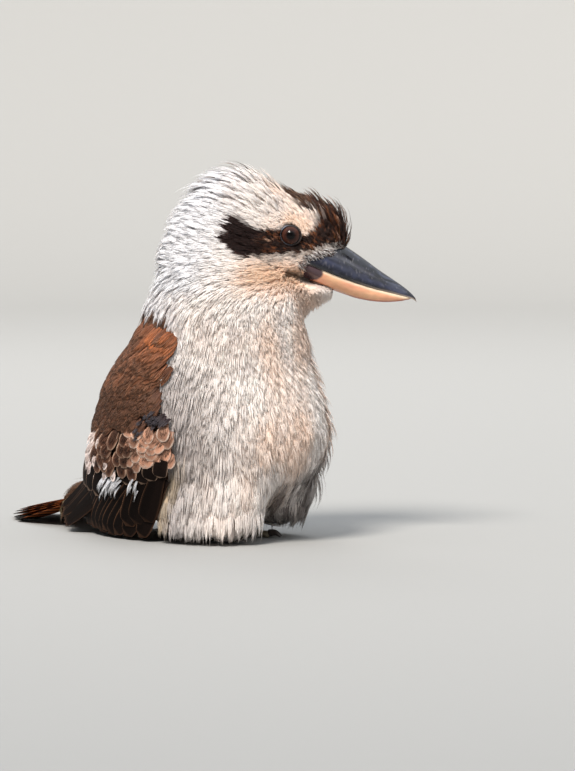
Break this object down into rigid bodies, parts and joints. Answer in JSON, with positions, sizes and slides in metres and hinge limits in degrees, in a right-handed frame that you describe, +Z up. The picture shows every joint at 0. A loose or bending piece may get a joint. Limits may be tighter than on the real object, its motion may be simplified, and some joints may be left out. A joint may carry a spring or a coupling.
{
  "type": "laughing kookaburra",
  "caption": "A laughing kookaburra at life size, sitting fluffed up on the floor, its head in profile with a heavy two-toned bill, a dark eye stripe, brown wings and a laid-down tail.",
  "frame": {"origin": "middle of the footprint, on the floor", "axes": "+X is the way the bill points, +Y is the far side of the picture's view, which is the bird's left cheek, and +Z is up"},
  "size_m": [0.2678, 0.2366, 0.2397],
  "materials": {
    "white_plumage": "soft feathers",
    "brown_plumage": "feathers with a slight sheen",
    "tail_plumage": "feathers with a slight sheen",
    "bill_dark": "satin horn",
    "bill_pale": "satin horn",
    "eye_dark": "wet gloss",
    "foot_skin": "scaled skin",
    "claw_horn": "satin horn"
  },
  "bodies": {
    "root": {"head": "white_plumage", "neck": "white_plumage", "torso": "white_plumage", "thigh_right": "white_plumage", "thigh_left": "white_plumage", "wing_right": "brown_plumage", "wing_left": "brown_plumage", "tail": "tail_plumage", "bill_upper": "bill_dark", "bill_lower": "bill_pale", "eye_right": "eye_dark", "eye_left": "eye_dark", "foot_right": "foot_skin", "foot_left": "foot_skin", "claw_middle_right": "claw_horn", "claw_outer_right": "claw_horn", "claw_inner_right": "claw_horn", "claw_hind_right": "claw_horn", "claw_middle_left": "claw_horn", "claw_outer_left": "claw_horn", "claw_inner_left": "claw_horn", "claw_hind_left": "claw_horn"}
  },
  "joints": []
}
